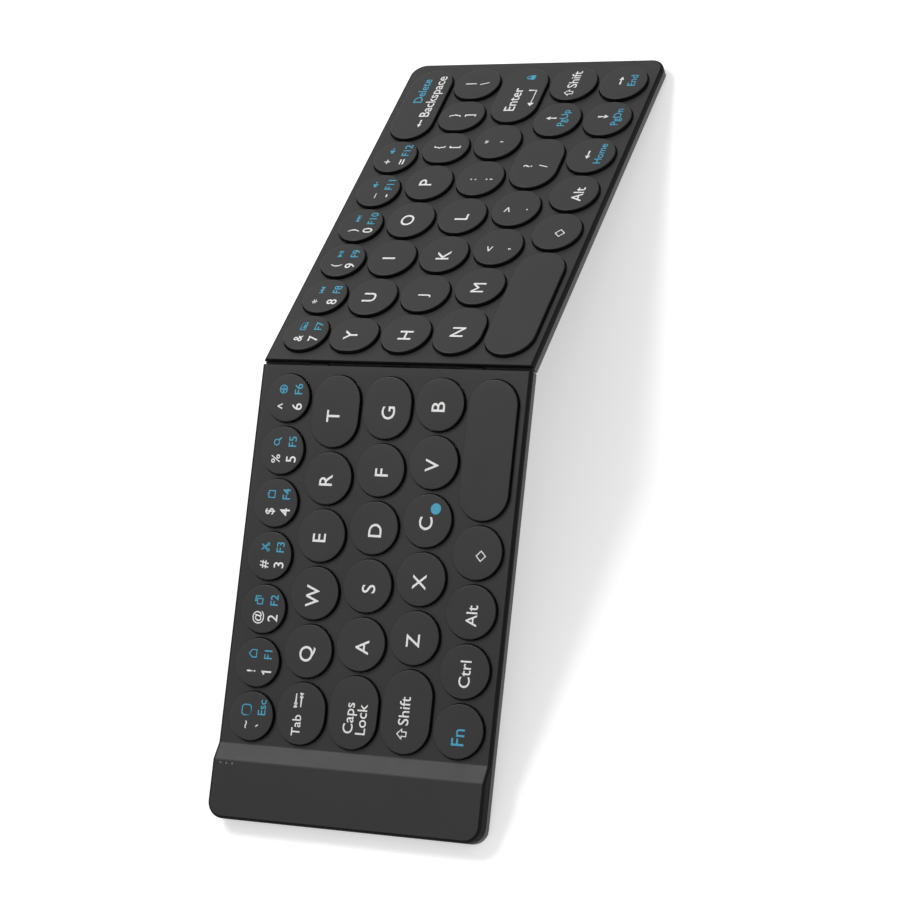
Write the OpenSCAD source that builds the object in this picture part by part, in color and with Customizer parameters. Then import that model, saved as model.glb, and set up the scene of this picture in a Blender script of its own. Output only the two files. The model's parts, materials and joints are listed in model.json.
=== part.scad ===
// Folding keyboard: two thin halves with round keys, joined by a two-pin hinge.
// The halves fold back to back, keys outside. Here they stand as a low tent.
// Sizes in mm, +Z up, +X from the raised end to the plain end, +Y away from the
// typist. The origin is on the table, below the middle of the tent.
//
// Each half is drawn flat as "u, y, z": u runs outward from the hinge seam, y from
// the near edge to the far edge, and z = 0 is the top of the deck.

/* [Halves] */
// Thickness of a half, deck to underside
half_t = 4.4; // [4.3:0.1:6]
// Radius of the two outer corners, seen from above
corner_r = 5.5; // [4:0.5:8]
// Thickness of the top cover's deck
deck_t = 1.2; // [1.1:0.05:1.4]
// Thickness of the bottom shell's floor
floor_t = 0.8; // [0.7:0.05:1]
// Thickness of the side walls
wall_t = 1.0; // [0.9:0.05:1.2]
// Height of the shadow groove between cover and shell
groove_h = 0.5; // [0.3:0.05:0.7]
// Depth of the shadow groove
groove_d = 0.4; // [0.2:0.05:0.5]
// Bevel along the outer edges
edge_bevel = 0.4; // [0.2:0.1:0.6]

/* [Raised end] */
// Height of the raised compartment above the deck
hump_h = 2.5; // [2:0.1:5]
// Length of the raised compartment with its slope
hump_len = 24.5; // [24:0.5:26]
// Length of the sloped face
slope_len = 5.6; // [4:0.2:7]

/* [Fold] */
// Angle that the right half is folded back from flat, as it stands
fold_now = 33.5; // [20:0.5:50]
// Depth of the hinge pins below the deck
pin_depth = 2.0; // [1.9:0.05:2.2]
// Radius of the hinge pins
pin_r = 0.7; // [0.5:0.05:0.8]
// Gap between the halves when they lie flat
seam = 0.3; // [0.2:0.05:0.5]
// Width of one hinge link
link_w = 6; // [4:0.5:6.5]
// Radius of the round ends of a link
link_r = 1.3; // [1.1:0.05:1.35]
// Thickness of a hinge ear
ear_t = 1.6; // [1:0.1:1.6]

/* [Keys] */
// Diameter of a letter key
key_d = 17.3; // [16.8:0.1:17.4]
// Gap between neighbouring keys
key_gap = 1.5; // [1.5:0.05:1.6]
// How far the keys stand above the deck
key_rise = 1.4; // [1.3:0.1:2.4]
// Travel of a key
key_travel = 1.2; // [0.8:0.1:1.3]
// Gap round a key in its hole
key_clear = 0.3; // [0.25:0.05:0.35]
// Thickness of a keycap's top
cap_t = 1.0; // [0.8:0.1:1.2]
// Margin from the near edge to the first row
near_margin = 3.05; // [2.8:0.05:3.5]
// Margin from the number keys to the far edge
far_margin = 3.8; // [3.5:0.05:5]
// Margin from the hinge seam to the keys
hinge_margin = 3.6; // [3.6:0.1:5]
// Margin from the last key to the plain end
end_margin = 5.1; // [5:0.1:7]
// Margin from the last key to the foot of the slope
slope_margin = 1.2; // [1:0.1:2]
// Room of the left half's rows, in letter keys
row_keys = 6.5; // [6.5:0.1:7]
// Room of the tab key, in letter keys
tab_keys = 1.15; // [1:0.01:1.2]
// Room of the caps lock key, in letter keys
caps_keys = 1.33; // [1.2:0.01:1.4]
// Room of the left shift key, in letter keys
shift_keys = 1.5; // [1.3:0.01:1.6]
// Room of each narrow key in the right half, in letter keys
slim_keys = 0.894; // [0.85:0.001:0.95]
// Room of the N key, in letter keys
n_keys = 1.197; // [1:0.001:1.3]

/* [Key guides] */
// Radius of a key's stem
stem_r = 2.0; // [1.6:0.1:2.2]
// Gap between a stem and its guide
stem_clear = 0.1; // [0.05:0.05:0.2]
// Wall of a guide bush
bush_wall = 1.0; // [0.7:0.1:1.1]
// Thickness of the guide plate
guide_t = 0.4; // [0.3:0.05:0.5]
// Thickness of the circuit sheet
circuit_t = 0.3; // [0.2:0.05:0.35]
// Thickness of the rubber dome sheet
sheet_t = 0.25; // [0.2:0.05:0.3]
// Keys at least this wide have a stem near each end as well
wide_from = 30; // [30:1:34]

/* [Feet and screws] */
// Height of the rubber feet
foot_h = 0.7; // [0.5:0.1:1.5]
// Width of a rubber foot
foot_w = 6; // [4:0.5:8]
// Margin from the near and far edges to the ends of a foot
foot_end_margin = 9; // [7:0.5:15]
// Margin from a half's outer end to its foot
foot_margin = 2; // [1.5:0.25:2.5]
// Margin from the seam to the inner foot
inner_foot_u = 16; // [12:1:30]
// Radius of the screw shanks
screw_r = 0.65; // [0.5:0.05:0.7]
// Radius of the screw heads
head_r = 1.2; // [1:0.05:1.25]
// Height of the screw heads
head_h = 0.5; // [0.4:0.05:0.6]

/* [Electronics] */
// Width of the charging socket
port_w = 8.94; // [8.9:0.02:9.2]
// Height of the charging socket
port_h = 3.26; // [3.2:0.02:3.4]
// Depth of the charging socket
port_len = 7.3; // [6:0.1:9]
// Thickness of the main board
board_t = 0.8; // [0.6:0.1:1]
// Length of the battery along the depth of the keyboard
battery_len = 46; // [30:1:48]
// Thickness of the battery
battery_t = 4.4; // [3:0.1:4.5]
// Side of the square controller chip
chip_w = 7; // [4:0.5:8]
// Height of the controller chip
chip_h = 1; // [0.6:0.1:1.2]
// Side of the square radio chip
radio_w = 3; // [2:0.5:5]
// Height of the radio chip
radio_h = 1.1; // [0.6:0.1:1.2]

/* [Hidden] */
$fn = 48;
eps = 0.01;
half_tilt = fold_now / 2;

// Heights in a half, from the floor up
floor_z = -half_t + floor_t;
sheet_z = floor_z + circuit_t;
guide_z = sheet_z + sheet_t;
dome_h = key_travel + 0.1;
stem_floor_gap = 0.15;
stem_z = guide_z + key_travel + stem_floor_gap;
cap_under = key_rise - cap_t;
bush_top = cap_under - key_travel - 0.6;
skirt_z = -0.4;
skirt_t = 1.0;
stack_gap = 0.4;

// Hinge: a pin in each half, so far in that the feet just clear when closed
feet_gap = 0.3;
pin_u = half_t - pin_depth + foot_h + feet_gap / 2;
roll_r = pin_u - seam / 2;
link_bore = pin_r + 0.03;
ear_bore = pin_r + 0.02;
link_side = 0.15;
link_room = 0.3;
skin_t = pin_depth - link_r - link_room;
pocket_u = pin_u + link_r + link_room;
pocket_w = link_w + 2 * (link_side + ear_t) + 0.5;
end_wall = 1.2;
leaf_w = 2.8;
leaf_t = 0.8;
leaf_u = pocket_u + 0.45;

// Key field, which sets the length of a half and the depth of the keyboard. The number
// keys share their row, and their diameter is rounded down to 0.05.
pitch = key_d + key_gap;
left_field = row_keys * pitch - key_gap;
left_number_count = 7;
num_d = floor(20 * ((left_field + key_gap) / left_number_count - key_gap)) / 20;
half_len = hinge_margin + left_field + slope_margin + hump_len;
depth = near_margin + 4 * pitch + num_d + far_margin;
right_field = half_len - hinge_margin - end_margin;
tab_w = tab_keys * pitch - key_gap;
caps_w = caps_keys * pitch - key_gap;
shift_w = shift_keys * pitch - key_gap;
slim_w = slim_keys * pitch - key_gap;
n_w = n_keys * pitch - key_gap;
stack_u0 = leaf_u + leaf_w + 0.3;

// A row is a list of [name, width], from left to right. Width 0 takes the rest; a
// row with no such key spreads its gaps. The first row is the nearest one.
left_rows = [
    [["fn", key_d], ["control", key_d], ["alt_left", key_d], ["command_left", key_d],
     ["space_left", 0]],
    [["shift_left", shift_w], ["z", key_d], ["x", key_d], ["c", key_d], ["v", key_d],
     ["b", 0]],
    [["caps", caps_w], ["a", key_d], ["s", key_d], ["d", key_d], ["f", key_d], ["g", 0]],
    [["tab", tab_w], ["q", key_d], ["w", key_d], ["e", key_d], ["r", key_d], ["t", 0]],
    [["grave", num_d], ["1", num_d], ["2", num_d], ["3", num_d], ["4", num_d],
     ["5", num_d], ["6", num_d]]
];
right_rows = [
    [["space_right", 0], ["command_right", key_d], ["alt_right", key_d],
     ["arrow_left", key_d], ["arrow_down", key_d], ["arrow_right", key_d]],
    [["n", n_w], ["m", key_d], ["comma", key_d], ["stop", key_d], ["slash", 0],
     ["arrow_up", key_d], ["shift_right", key_d]],
    [["h", key_d], ["j", key_d], ["k", key_d], ["l", key_d], ["semicolon", key_d],
     ["quote", key_d], ["enter", 0]],
    [["y", slim_w], ["u", key_d], ["i", key_d], ["o", key_d], ["p", key_d],
     ["bracket_open", slim_w], ["bracket_close", slim_w], ["backslash", 0]],
    [["7", num_d], ["8", num_d], ["9", num_d], ["0", num_d], ["minus", num_d],
     ["equals", num_d], ["backspace", 0]]
];

// Nodes that hold one key each, and nodes that hold a group of like keys
left_single = ["space_left", "q", "w", "e", "r", "t", "a", "s", "d", "f", "g",
               "z", "x", "c", "v", "b"];
right_single = ["space_right", "y", "u", "i", "o", "p", "h", "j", "k",
                "l", "n", "m"];
left_groups = [
    ["left_number_keys", ["grave", "1", "2", "3", "4", "5", "6"]],
    ["left_modifier_keys", ["fn", "control", "alt_left", "command_left"]],
    ["left_side_keys", ["tab", "caps", "shift_left"]]
];
right_groups = [
    ["right_number_keys", ["7", "8", "9", "0", "minus", "equals"]],
    ["punctuation_keys", ["bracket_open", "bracket_close", "backslash", "semicolon",
                          "quote", "comma", "stop", "slash"]],
    ["right_side_keys", ["backspace", "enter", "shift_right"]],
    ["bottom_row_keys", ["command_right", "alt_right", "arrow_left", "arrow_down",
                         "arrow_right", "arrow_up"]]
];
left_keys = concat([for (k = left_single) [str("key_", k), [k]]], left_groups);
right_keys = concat([for (k = right_single) [str("key_", k), [k]]], right_groups);

function sum(list, n, i = 0) = i >= n ? 0 : list[i] + sum(list, n, i + 1);
function rows(side) = side < 0 ? left_rows : right_rows;
function field(side) = side < 0 ? left_field : right_field;
function fills(row) = len([for (k = row) if (k[1] == 0) k]) > 0;
function spare(row, room) = room - sum([for (k = row) k[1]], len(row));
function gap(row, room) = fills(row) ? key_gap : spare(row, room) / (len(row) - 1);
function widths(row, room) =
    let (rest = spare(row, room) - key_gap * (len(row) - 1))
    [for (k = row) k[1] > 0 ? k[1] : round(rest * 100) / 100];
function row_h(r) = r < 4 ? key_d : num_d;
function row_y(r) = near_margin + r * pitch + row_h(r) / 2;
// Every key of a half as [name, u, y, width, height]
function key_list(side) = [
    for (r = [0 : 4])
        let (row = rows(side)[r], ws = widths(row, field(side)))
        for (i = [0 : len(row) - 1])
            let (from_left = sum(ws, i) + i * gap(row, field(side)) + ws[i] / 2,
                 u = hinge_margin + (side < 0 ? field(side) - from_left : from_left))
            [row[i][0], u, row_y(r), ws[i], row_h(r)]
];
function has(list, name) = len([for (n = list) if (n == name) n]) > 0;
function stems(w, h) = w < wide_from ? [0] : [-(w - h) / 2, 0, (w - h) / 2];

// Hinge stations sit in the gaps between rows, where round keys leave room
stations = [near_margin + pitch - key_gap / 2, near_margin + 4 * pitch - key_gap / 2];
leaf_screw_reach = 9.5;
leaf_screw_y = [for (y = stations, s = [-1, 1]) y + s * leaf_screw_reach];
leaf_end = 3.3;
leaf_y0 = min(leaf_screw_y) - leaf_end;
leaf_y1 = max(leaf_screw_y) + leaf_end;
leaf_screw_u = leaf_u + leaf_w / 2;
screw_inset = 3.75;
left_boss_r = 1.8;
right_boss_r = 1.5;
slope_boss_u = half_len - hump_len + slope_len / 2 + 0.7;
// Case screws as [u, y, height of the boss's top, boss radius]
left_bosses = [
    [half_len - screw_inset, screw_inset, hump_h - deck_t / 2, left_boss_r],
    [half_len - screw_inset, depth - screw_inset, hump_h - deck_t / 2, left_boss_r],
    [slope_boss_u, screw_inset, hump_h / 8, left_boss_r],
    [slope_boss_u, depth - screw_inset, hump_h / 8, left_boss_r]
];
end_boss_u = half_len - (end_margin - key_clear) / 2 - wall_t / 2;
right_bosses = [for (y = [corner_r, depth / 2, depth - corner_r])
    [end_boss_u, y, -deck_t / 2, right_boss_r]];
function bosses(side) = side < 0 ? left_bosses : right_bosses;
screw_bite = 1.7;
foot_y0 = foot_end_margin + foot_w / 2;
foot_y1 = depth - foot_end_margin - foot_w / 2;

// Electronics in the raised end, in u
bay_u0 = half_len - hump_len + slope_len + 0.6;
bay_u1 = half_len - wall_t - 0.8;
battery_y0 = 9;
board_gap = 3;
board_edge_gap = 0.3;
board_y0 = battery_y0 + battery_len + board_gap;
board_y1 = depth - wall_t - board_edge_gap;
board_z1 = floor_z + board_t;
chip_y = board_y0 + (board_y1 - board_y0) / 4;
radio_y = chip_y + 1.7 * chip_w;
lamp_r = 0.45;
lamp_crest_gap = 1.0;
lamp_edge = 3.1;
lamp_pitch = 2.2;
lamp_u = half_len - hump_len + slope_len + lamp_crest_gap;
lamp_y = [for (i = [0 : 2]) depth - lamp_edge - i * lamp_pitch];
// The socket sits midway between the lamps and the corner boss
port_u = (lamp_u + lamp_r + half_len - screw_inset - left_boss_r) / 2;
port_z = board_z1 + port_h / 2;
ribbon_w = 10;
ribbon_t = 0.2;
ribbon_z = floor_z + leaf_t;
magnet_r = 1.6;

// The tent: height of the pins over the table, and the middle of the footprint
pin_up = (half_len - foot_margin - pin_u) * sin(half_tilt)
    + (half_t + foot_h - pin_depth) * cos(half_tilt);
mid_shift = hump_h * sin(half_tilt) / 2;

case_nodes = ["left_top_cover", "left_bottom_shell", "left_guide_plate",
              "left_dome_sheet", "left_circuit_sheet", "left_hinge_leaf", "left_feet",
              "left_screws", "battery", "main_board", "charging_socket",
              "indicator_lamps", "left_hinge_pins",
              "right_top_cover", "right_bottom_shell", "right_guide_plate",
              "right_dome_sheet", "right_circuit_sheet", "right_hinge_leaf",
              "right_feet", "right_screws", "sensor_magnet", "right_hinge_pins",
              "hinge_links", "hinge_ribbon"];

cover_colour = [0.16, 0.16, 0.165];
shell_colour = [0.13, 0.13, 0.135];
key_colour = [0.11, 0.11, 0.115];

// Places a flat-drawn half in the tent: side -1 is left, 1 is right
module on_half(side) {
    translate([mid_shift, 0, 0])
        mirror([side < 0 ? 1 : 0, 0, 0])
            translate([pin_u, -depth / 2, pin_up])
                rotate([0, half_tilt, 0])
                    translate([-pin_u, 0, pin_depth])
                        children();
}

// Outline of a half, inset by "in": square at the seam, round at the outer end
module outline(in = 0, seam_in = 0) {
    r = corner_r - in;
    u0 = seam / 2 + seam_in;
    u1 = half_len - in;
    translate([u0, in])
        square([u1 - r - u0, depth - 2 * in]);
    translate([u0, in + r])
        square([u1 - u0, depth - 2 * in - 2 * r]);
    for (y = [in + r, depth - in - r])
        translate([u1 - r, y])
            circle(r);
}

// A bar along y with the section given as [u, z] points
module along_y(points) {
    translate([0, depth + 1, 0])
        rotate([90, 0, 0])
            linear_extrude(depth + 2)
                polygon(points);
}

// A bar along u with the section given as [y, z] points
module along_u(points) {
    translate([-1, 0, 0])
        rotate([90, 0, 90])
            linear_extrude(half_len + 2)
                polygon(points);
}

// Keeps what lies under a top at z1 with bevelled long edges
module under_bevel(z1) {
    intersection() {
        children();
        along_u([[0, -half_t - 1], [depth, -half_t - 1], [depth, z1 - edge_bevel],
                 [depth - edge_bevel, z1], [edge_bevel, z1], [0, z1 - edge_bevel]]);
    }
}

// Rounded key outline: a disc when round, else with half-round ends
module key_shape(w, h) {
    r = min(w, h) / 2;
    for (s = [-1, 1])
        translate([s * (w / 2 - r), s * (h / 2 - r)])
            circle(r);
    if (w != h)
        square(w > h ? [w - 2 * r, h] : [w, h - 2 * r], center = true);
}

module key_holes(side) {
    for (k = key_list(side))
        translate([k[1], k[2], -deck_t - 1])
            linear_extrude(deck_t + 2)
                key_shape(k[3] + 2 * key_clear, k[4] + 2 * key_clear);
}

// Recess for the hinge links and ears; the skin over it stays
module hinge_pockets(w, z1) {
    for (y = stations)
        translate([-1, y - w / 2, -half_t - 1])
            cube([pocket_u + 1, w, half_t + 1 + z1]);
}

module port_cut() {
    room = 0.1;
    translate([port_u, depth + 1, port_z])
        rotate([90, 0, 0])
            linear_extrude(wall_t + 1.5)
                port_shape(port_w + 2 * room, port_h + 2 * room);
}

module port_shape(w, h) {
    square([w - h, h], center = true);
    for (s = [-1, 1])
        translate([s * (w - h) / 2, 0])
            circle(h / 2);
}

module boss_posts(side) {
    for (b = bosses(side))
        translate([b[0], b[1], floor_z])
            difference() {
                cylinder(r = b[3], h = b[2] - floor_z);
                translate([0, 0, -eps])
                    cylinder(r = screw_r + 0.02, h = screw_bite + 0.3);
            }
}

// Raised compartment over the battery, sloped towards the keys
module hump_block() {
    foot = half_len - hump_len;
    under_bevel(hump_h)
        intersection() {
            translate([0, 0, -deck_t])
                linear_extrude(hump_h + deck_t)
                    outline();
            along_y([[foot, -deck_t], [foot, 0], [foot + slope_len, hump_h],
                     [half_len - edge_bevel, hump_h], [half_len, hump_h - edge_bevel],
                     [half_len, -deck_t]]);
        }
}

module hump_cavity() {
    foot = half_len - hump_len;
    lean = deck_t / 2;
    intersection() {
        translate([0, 0, -deck_t - 1])
            linear_extrude(hump_h + 1)
                outline(wall_t);
        along_y([[foot + lean, -deck_t - 1], [foot + lean, -deck_t],
                 [foot + slope_len + lean, hump_h - deck_t],
                 [half_len, hump_h - deck_t], [half_len, -deck_t - 1]]);
    }
}

module top_cover(side) {
    color(cover_colour)
    on_half(side) {
        difference() {
            union() {
                under_bevel(0)
                    translate([0, 0, -deck_t])
                        linear_extrude(deck_t)
                            outline();
                if (side < 0)
                    hump_block();
            }
            if (side < 0) {
                hump_cavity();
                port_cut();
                for (y = lamp_y)
                    translate([lamp_u, y, -deck_t])
                        cylinder(r = lamp_r + 0.05, h = hump_h + deck_t + 1);
            }
            key_holes(side);
            hinge_pockets(pocket_w, -skin_t);
        }
        boss_posts(side);
    }
}

// Takes away what lies outside the round rolling edge under the pin
module roll_cut() {
    difference() {
        translate([-1, -1, -half_t - 1])
            cube([pin_u + 1, depth + 2, half_t + 1 - pin_depth]);
        translate([pin_u, -2, -pin_depth])
            rotate([-90, 0, 0])
                cylinder(r = roll_r, h = depth + 4);
    }
}

module screw_holes(side) {
    places = concat([for (b = bosses(side)) [b[0], b[1]]],
                    [for (y = leaf_screw_y) [leaf_screw_u, y]]);
    for (p = places)
        translate([p[0], p[1], -half_t - 1]) {
            cylinder(r = head_r + 0.15, h = head_h + 1);
            cylinder(r = screw_r + 0.15, h = floor_t + 2);
        }
}

module bottom_shell(side) {
    rim_z = -deck_t - groove_h;
    color(shell_colour)
    on_half(side)
        difference() {
            union() {
                intersection() {
                    translate([0, 0, -half_t])
                        linear_extrude(rim_z + half_t)
                            outline();
                    along_u([[edge_bevel, -half_t], [depth - edge_bevel, -half_t],
                             [depth, -half_t + edge_bevel], [depth, 0], [0, 0],
                             [0, -half_t + edge_bevel]]);
                    along_y([[-1, -half_t], [half_len - edge_bevel, -half_t],
                             [half_len, -half_t + edge_bevel], [half_len, 0], [-1, 0]]);
                }
                translate([0, 0, rim_z - eps])
                    linear_extrude(groove_h + eps)
                        outline(groove_d, groove_d);
            }
            translate([0, 0, floor_z])
                linear_extrude(half_t)
                    outline(wall_t, end_wall);
            roll_cut();
            hinge_pockets(link_w + 2 * link_room, -deck_t + 1);
            screw_holes(side);
            translate([-1, (depth - ribbon_w) / 2 - link_room, ribbon_z - 0.3])
                cube([end_wall + 2, ribbon_w + 2 * link_room, ribbon_t + 1]);
            if (side < 0)
                port_cut();
        }
}

// The stacked sheets under the keys share one outline
module stack_plate(side, z, t) {
    u1 = hinge_margin + field(side) + key_clear;
    translate([stack_u0, wall_t + stack_gap, z])
        cube([u1 - stack_u0, depth - 2 * (wall_t + stack_gap), t]);
}

module guide_plate(side) {
    color([0.3, 0.3, 0.31])
    on_half(side)
        difference() {
            union() {
                stack_plate(side, guide_z, guide_t);
                for (k = key_list(side), s = stems(k[3], k[4]))
                    translate([k[1] + s, k[2], guide_z])
                        cylinder(r = stem_r + stem_clear + bush_wall,
                                 h = bush_top - guide_z);
            }
            for (k = key_list(side), s = stems(k[3], k[4]))
                translate([k[1] + s, k[2], guide_z - 1])
                    cylinder(r = stem_r + stem_clear, h = bush_top - guide_z + 2);
        }
}

module dome_sheet(side) {
    color([0.75, 0.75, 0.72])
    on_half(side) {
        stack_plate(side, sheet_z, sheet_t);
        for (k = key_list(side))
            translate([k[1], k[2], guide_z - eps])
                cylinder(r1 = stem_r - 0.1, r2 = stem_r - 0.7, h = dome_h, $fn = 24);
    }
}

module circuit_sheet(side) {
    color([0.2, 0.35, 0.25])
    on_half(side)
        stack_plate(side, floor_z, circuit_t);
}

// Pressed steel leaf: a strip on the floor with two pairs of ears for the pins
module hinge_leaf(side) {
    color([0.55, 0.56, 0.58])
    on_half(side)
        difference() {
            union() {
                translate([leaf_u, leaf_y0, floor_z])
                    cube([leaf_w, leaf_y1 - leaf_y0, leaf_t]);
                for (y = stations, s = [-1, 1])
                    translate([0, y + s * (link_w / 2 + link_side + ear_t / 2), 0]) {
                        translate([pin_u, -ear_t / 2, -pin_depth])
                            rotate([-90, 0, 0])
                                cylinder(r = link_r, h = ear_t);
                        translate([pin_u - link_r / 2, -ear_t / 2, floor_z])
                            cube([leaf_u - pin_u + link_r / 2 + eps, ear_t,
                                  leaf_t + 0.7]);
                    }
            }
            for (y = stations)
                translate([pin_u, y - pocket_w, -pin_depth])
                    rotate([-90, 0, 0])
                        cylinder(r = ear_bore, h = 2 * pocket_w);
            for (y = leaf_screw_y)
                translate([leaf_screw_u, y, floor_z - 1])
                    cylinder(r = screw_r + 0.02, h = leaf_t + 2);
        }
}

module hinge_pins(side) {
    pin_len = link_w + 2 * (link_side + ear_t);
    color([0.75, 0.75, 0.77])
    on_half(side)
        for (y = stations)
            translate([pin_u, y - pin_len / 2, -pin_depth])
                rotate([-90, 0, 0])
                    cylinder(r = pin_r, h = pin_len);
}

// Two links between the pins: each half turns half of the fold
module hinge_links() {
    color([0.12, 0.12, 0.13])
    translate([mid_shift, -depth / 2, pin_up])
        for (y = stations)
            translate([0, y + link_w / 2, 0])
                rotate([90, 0, 0])
                    linear_extrude(link_w)
                        difference() {
                            union() {
                                square([2 * pin_u, 2 * link_r], center = true);
                                for (s = [-1, 1])
                                    translate([s * pin_u, 0])
                                        circle(link_r);
                            }
                            for (s = [-1, 1])
                                translate([s * pin_u, 0])
                                    circle(link_bore);
                        }
}

// Flat cable that joins the circuits of the halves through the seam
module hinge_ribbon() {
    color([0.55, 0.3, 0.1])
    for (side = [-1, 1])
        on_half(side)
            translate([0, (depth - ribbon_w) / 2, ribbon_z])
                cube([leaf_u + leaf_w / 2, ribbon_w, ribbon_t]);
}

module feet(side) {
    color([0.09, 0.09, 0.09])
    on_half(side)
        for (u = [inner_foot_u, half_len - foot_margin - foot_w])
            translate([u + foot_w / 2, 0, -half_t - foot_h])
                linear_extrude(foot_h) {
                    translate([-foot_w / 2, foot_y0])
                        square([foot_w, foot_y1 - foot_y0]);
                    for (y = [foot_y0, foot_y1])
                        translate([0, y])
                            circle(foot_w / 2);
                }
}

module screw(bite) {
    difference() {
        cylinder(r = head_r, h = head_h);
        translate([0, 0, -eps])
            cylinder(r = head_r * 0.55, h = head_h * 0.5, $fn = 6);
    }
    translate([0, 0, head_h - eps])
        cylinder(r = screw_r, h = floor_t - head_h + bite);
}

module screws(side) {
    color([0.3, 0.3, 0.32])
    on_half(side) {
        for (b = bosses(side))
            translate([b[0], b[1], -half_t])
                screw(screw_bite);
        for (y = leaf_screw_y)
            translate([leaf_screw_u, y, -half_t])
                screw(leaf_t);
    }
}

module battery() {
    color([0.7, 0.71, 0.73])
    on_half(-1)
        translate([bay_u0, battery_y0, floor_z])
            cube([bay_u1 - bay_u0, battery_len, battery_t]);
}

module main_board() {
    color([0.1, 0.3, 0.18])
    on_half(-1) {
        difference() {
            translate([0, 0, floor_z])
                linear_extrude(board_t)
                    intersection() {
                        outline(wall_t + board_edge_gap);
                        translate([bay_u0 - 1, board_y0])
                            square([bay_u1 - bay_u0 + 1, board_y1 - board_y0]);
                    }
            for (b = left_bosses)
                translate([b[0], b[1], floor_z - 1])
                    cylinder(r = b[3] + board_edge_gap, h = board_t + 2);
        }
        translate([port_u - chip_w / 2, chip_y, board_z1 - eps])
            cube([chip_w, chip_w, chip_h]);
        translate([port_u - chip_w / 2, radio_y, board_z1 - eps])
            cube([radio_w, radio_w, radio_h]);
    }
}

module charging_socket() {
    shell = 0.3;
    tongue_t = 0.7;
    color([0.7, 0.7, 0.72])
    on_half(-1)
        translate([port_u, depth - 0.2, port_z])
            rotate([90, 0, 0]) {
                difference() {
                    linear_extrude(port_len)
                        port_shape(port_w, port_h);
                    translate([0, 0, -1])
                        linear_extrude(port_len)
                            port_shape(port_w - 2 * shell, port_h - 2 * shell);
                }
                translate([0, 0, 1])
                    linear_extrude(port_len - 1.5)
                        square([port_w - 2.3, tongue_t], center = true);
            }
}

module indicator_lamps() {
    color([0.85, 0.9, 0.92])
    on_half(-1)
        for (y = lamp_y)
            translate([lamp_u, y, board_z1])
                cylinder(r = lamp_r, h = hump_h - board_z1);
}

module sensor_magnet() {
    color([0.7, 0.7, 0.7])
    on_half(1)
        translate([half_len - wall_t - magnet_r - 0.1, depth * 0.3, floor_z])
            cylinder(r = magnet_r, h = 1.2);
}

// A round stretch of cap wall, and the straight stretch between two of them
module cap_solid(w, h) {
    r = min(w, h) / 2;
    top = key_rise;
    side = [[r, skirt_z], [r, top - 0.4], [r - 0.12, top - 0.12], [r - 0.4, top]];
    for (s = w == h ? [0] : [-1, 1])
        translate([s * (w / 2 - r), s * (h / 2 - r), 0])
            rotate_extrude()
                polygon(concat([[0, skirt_z]], side, [[0, top]]));
    if (w != h)
        rotate([0, 0, w > h ? 0 : 90])
            translate([-abs(w - h) / 2, 0, 0])
                rotate([90, 0, 90])
                    linear_extrude(abs(w - h))
                        polygon(concat(side, [for (i = [3 : -1 : 0])
                            [-side[i][0], side[i][1]]]));
}

module keycap(w, h) {
    difference() {
        cap_solid(w, h);
        translate([0, 0, skirt_z - 1])
            linear_extrude(cap_under - skirt_z + 1)
                key_shape(w - 2 * skirt_t, h - 2 * skirt_t);
    }
    for (s = stems(w, h))
        translate([s, 0, stem_z])
            cylinder(r = stem_r, h = cap_under - stem_z + eps);
}

module keys(side, names) {
    color(key_colour)
    on_half(side)
        for (k = key_list(side))
            if (has(names, k[0]))
                translate([k[1], k[2], 0])
                    keycap(k[3], k[4]);
}

top_cover(-1);  // left_top_cover
bottom_shell(-1);  // left_bottom_shell
guide_plate(-1);  // left_guide_plate
dome_sheet(-1);  // left_dome_sheet
circuit_sheet(-1);  // left_circuit_sheet
hinge_leaf(-1);  // left_hinge_leaf
feet(-1);  // left_feet
screws(-1);  // left_screws
hinge_pins(-1);  // left_hinge_pins
battery();
main_board();
charging_socket();
indicator_lamps();
top_cover(1);  // right_top_cover
bottom_shell(1);  // right_bottom_shell
guide_plate(1);  // right_guide_plate
dome_sheet(1);  // right_dome_sheet
circuit_sheet(1);  // right_circuit_sheet
hinge_leaf(1);  // right_hinge_leaf
feet(1);  // right_feet
screws(1);  // right_screws
hinge_pins(1);  // right_hinge_pins
sensor_magnet();
hinge_links();
hinge_ribbon();
for (k = left_keys)
    keys(-1, k[1]);
for (k = right_keys)
    keys(1, k[1]);
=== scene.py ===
# Folding keyboard with round keys: two thin halves on a two-pin hinge, standing as a low
# tent with the keys outside. Flat sizes are in mm, and the frame is in metres.
import json
import math

import bmesh
import bpy
from mathutils import Matrix, Vector
from mathutils.geometry import delaunay_2d_cdt


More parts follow.
